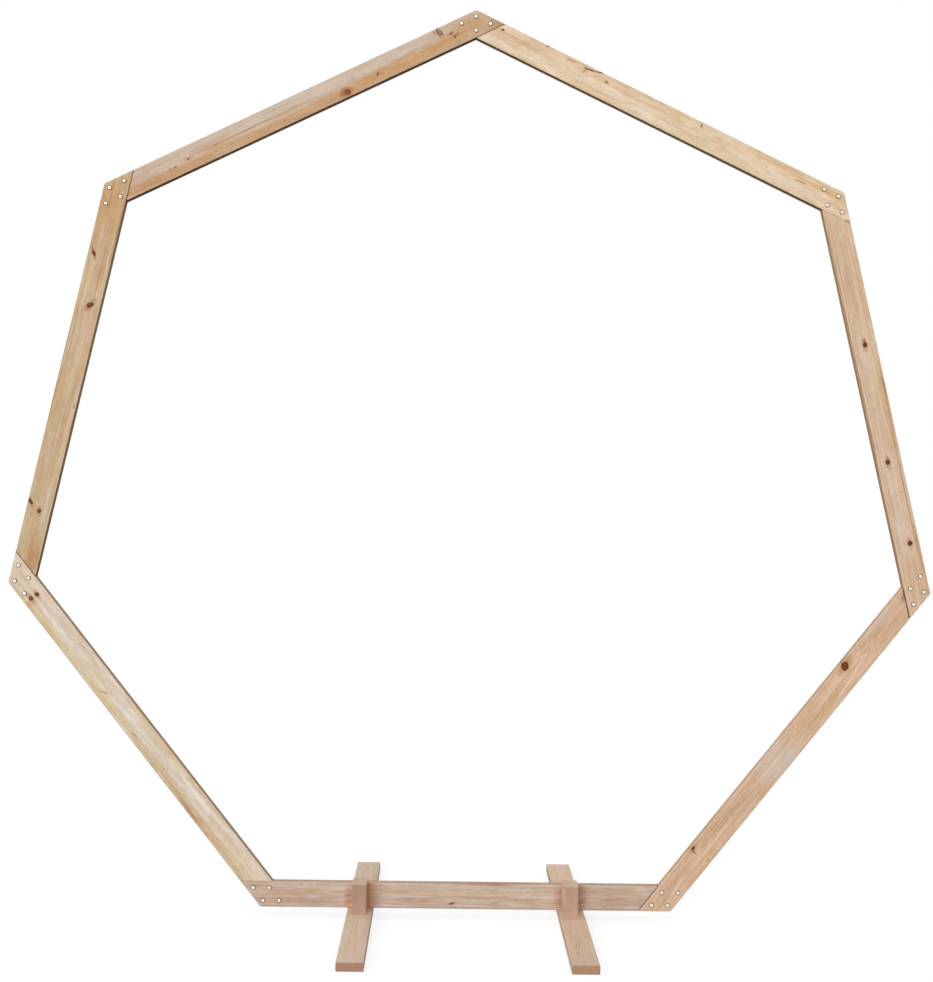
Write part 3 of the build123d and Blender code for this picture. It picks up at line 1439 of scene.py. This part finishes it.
def round_head_screw(name, length):
    """A round-headed screw that points up from the ground plane, with its domed head below it."""
    screw = head_disc(head_wall, -head_wall)
    select_faces(screw, faces_down)
    dome_height = (head_height - head_wall) / sin(dome_end)
    for step in range(dome_steps):
        start = dome_end * step / dome_steps
        end = dome_end * (step + 1) / dome_steps
        inward = head_radius * (cos(start) - cos(end))
        outward = dome_height * (sin(end) - sin(start))
        bpy.ops.mesh.inset(thickness=inward, depth=outward)
    bpy.ops.object.mode_set(mode="OBJECT")
    # The outer faces of the dome take the rim's darker zinc, painted shade and a painted dark reflection of
    # the wood, with some dirt
    for face in screw.data.polygons:
        if face.center.xy.length > crown_share * head_radius:
            face.material_index = rim_slot
    select_faces(screw, faces_up)
    bpy.ops.mesh.inset(thickness=head_radius - shank_radius)
    draw_shank(screw, 0.0, length)
    cut_recess(screw, -head_height)
    return finish_screw(screw, name)


def flat_head_screw(name, length):
    """A flat-headed screw that points up, with its cone head let in just above the ground plane."""
    screw = head_disc(flat_head_wall, countersink_depth)
    select_faces(screw, faces_up)
    cone_height = head_radius - shank_radius - flat_head_wall
    pull_out(cone_height, shank_radius / head_radius)
    draw_shank(screw, countersink_depth + flat_head_wall + cone_height, countersink_depth + length)
    cut_recess(screw, countersink_depth)
    return finish_screw(screw, name)


def set_of_screws(joint, head, pattern, places):
    """One joint's screws, each a copy with its own mesh, turned as it was left when it was driven home."""
    name = f"{joint}_{head}_screws"
    node = joint + "_screws"
    copies = []
    for count, place in enumerate(places):
        copy = pattern.copy()
        copy.data = pattern.data.copy()
        left_at = Matrix.Rotation(last_turn * (count + len(name)), 4, "Z")
        copy.data.transform(place @ left_at)
        bpy.context.scene.collection.objects.link(copy)
        copies.append(copy)
    join_all(*copies)
    joined = copies[0]
    joined.name = name
    joined.data.name = name
    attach(joined, "root")
    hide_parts(node)


def corner_screw_places(index):
    """The four screws at a corner of the ring, each the same inset from an edge of both boards."""
    to_back = Matrix.Rotation(-pi / 2, 4, "X")
    corner_turn = Matrix.Translation(ring_middle) @ Matrix.Rotation(-index * turn, 4, "Y")
    places = []
    for before in screw_insets:
        for after in screw_insets:
            across = (after - before) / (2 * sin(turn / 2))
            up = (2 * apothem - before - after) / (2 * cos(turn / 2))
            places.append(corner_turn @ Matrix.Translation((across, front_face, up)) @ to_back)
    return places


def block_screw_places(middle):
    """The two screws behind the bottom board, driven forwards into the block."""
    to_front = Matrix.Rotation(pi / 2, 4, "X")
    heights = [foot_thickness + inset for inset in screw_insets]
    return [Matrix.Translation((middle, back_face, height)) @ to_front for height in heights]


def foot_screw_places(middle):
    """The two screws under the foot, driven up into the block."""
    block_middle = front_face - block_depth / 2
    sides = [-foot_screw_spacing / 2, foot_screw_spacing / 2]
    return [Matrix.Translation((middle + side, block_middle, 0)) for side in sides]


def drive_screws():
    """All the screws of the arch."""
    corner_screw = round_head_screw("corner_screw", corner_screw_length)
    block_screw = round_head_screw("block_screw", block_screw_length)
    foot_screw = flat_head_screw("foot_screw", foot_screw_length)
    for index, corner in enumerate(corner_names):
        set_of_screws(corner, "round", corner_screw, corner_screw_places(index))
    for side, middle in block_middles.items():
        set_of_screws(side + "_block", "round", block_screw, block_screw_places(middle))
        set_of_screws(side + "_foot", "flat", foot_screw, foot_screw_places(middle))
    for pattern in (corner_screw, block_screw, foot_screw):
        bpy.data.objects.remove(pattern)


# The studio

def shown_rays(tree):
    """1 for what the camera sees, straight, mirrored or through glass, and 0 for soft light."""
    path = tree.nodes.new("ShaderNodeLightPath").outputs
    mirrored = maths("MAXIMUM", path["Is Glossy Ray"], path["Is Transmission Ray"])
    return maths("MAXIMUM", path["Is Camera Ray"], mirrored)


def lay_floor():
    """A plain floor that shows white and keeps a faint shadow, and throws little light up."""
    clear_selection()
    bpy.ops.mesh.primitive_plane_add(size=floor_size, location=(0, 0, -floor_drop))
    floor = bpy.context.object
    floor.name = "floor"
    material, tree, shader = new_material("plain_floor")
    shown = shown_rays(tree)
    pale = (floor_shown, floor_shown, floor_shown, 1.0)
    put(shader.inputs["Base Color"], mix_tones(shown, floor_unseen, pale))
    shader.inputs["Roughness"].default_value = 1.0
    shader.inputs["Specular IOR Level"].default_value = 0.0
    shader.inputs["Emission Color"].default_value = white
    put(shader.inputs["Emission Strength"], product(shown, floor_lift))
    floor.active_material = material


def hang_lamp(name, shines_from, strength, spread):
    """A far soft lamp."""
    lamp = bpy.data.lights.new(name, "SUN")
    lamp.energy = strength
    lamp.angle = spread
    holder = bpy.data.objects.new(name, lamp)
    holder.rotation_euler = shines_from.to_track_quat("Z", "Y").to_euler()
    bpy.context.scene.collection.objects.link(holder)


def light_room():
    """A plain room that shows white, and its two lamps."""
    world = bpy.data.worlds.new("pale_room")
    world.use_nodes = True
    bpy.context.scene.world = world
    tree = world.node_tree
    background = tree.nodes["Background"]
    background.inputs["Color"].default_value = white
    put(background.inputs["Strength"], swing(shown_rays(tree), room_light, room_shown))
    hang_lamp("soft_lamp", lamp_from, lamp_strength, lamp_spread)
    hang_lamp("back_lamp", back_lamp_from, back_lamp_strength, back_lamp_spread)


def set_camera():
    """The photograph's camera, facing the arch and held a little askew."""
    data = bpy.data.cameras.new("camera")
    data.lens = camera_lens
    data.sensor_width = camera_sensor
    data.shift_x, data.shift_y = camera_shift
    camera = bpy.data.objects.new("camera", data)
    camera.location = camera_place
    camera.rotation_euler = (pi / 2, camera_roll, 0)
    bpy.context.scene.collection.objects.link(camera)
    bpy.context.scene.camera = camera
    bpy.context.scene.view_settings.view_transform = "Standard"


pine_ground = pine_ground_group()
pine_knot = knot_group()
screw_dent_and_shade = dent_and_shade_group()
wood_stain_and_painted_light = stain_and_painted_light_group()
planed_pine = planed_pine_group()
screw_finish = [zinc_material(name, *finish) for name, finish in zinc_finishes.items()]

set_camera()
light_room()
lay_floor()
dress_boards()
dress_feet()
dress_blocks()
drive_screws()
